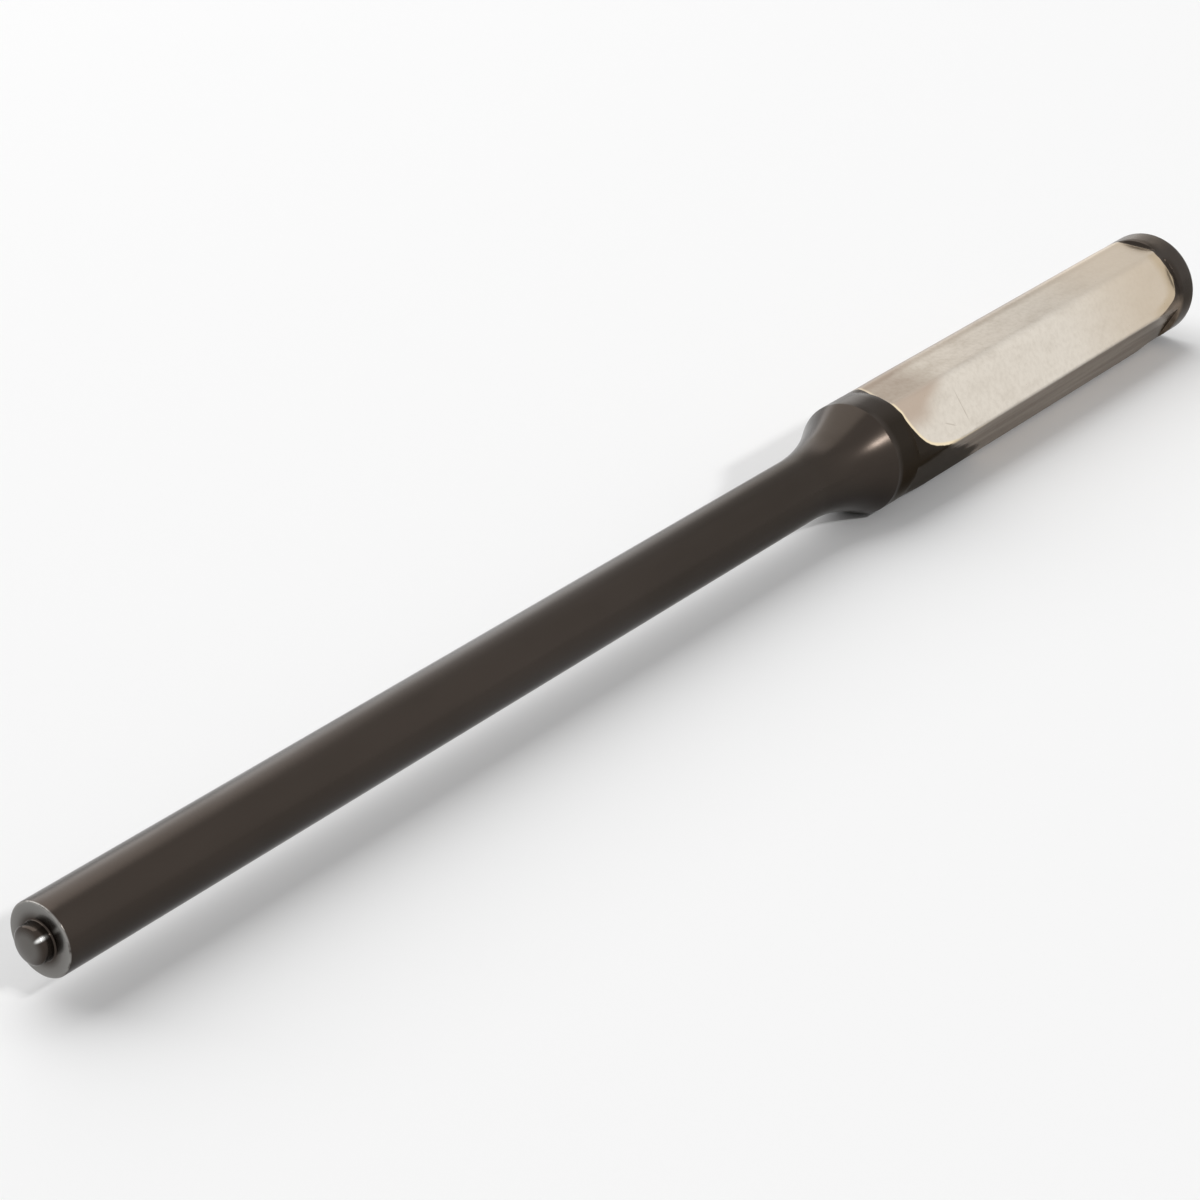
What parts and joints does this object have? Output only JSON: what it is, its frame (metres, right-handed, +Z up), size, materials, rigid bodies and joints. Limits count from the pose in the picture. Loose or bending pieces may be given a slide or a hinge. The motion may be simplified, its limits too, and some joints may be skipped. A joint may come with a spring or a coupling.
{
  "type": "roll pin punch",
  "caption": "Roll pin punch: round shank with a domed nub on a flat shoulder, flared neck, hexagonal grip between round collars and a flat head for the hammer.",
  "frame": {"origin": "middle of the bounding box's bottom, under the shank where the punch lies on a surface", "axes": "+X along the punch's axis from the nub to the struck head, +Z up through the grip's top flat, Y across"},
  "size_m": [0.1644, 0.0116, 0.011],
  "materials": {
    "oxide_steel": "black oxide, satin, with bright ground flats on the grip"
  },
  "bodies": {
    "root": {"punch": "oxide_steel"}
  },
  "joints": []
}
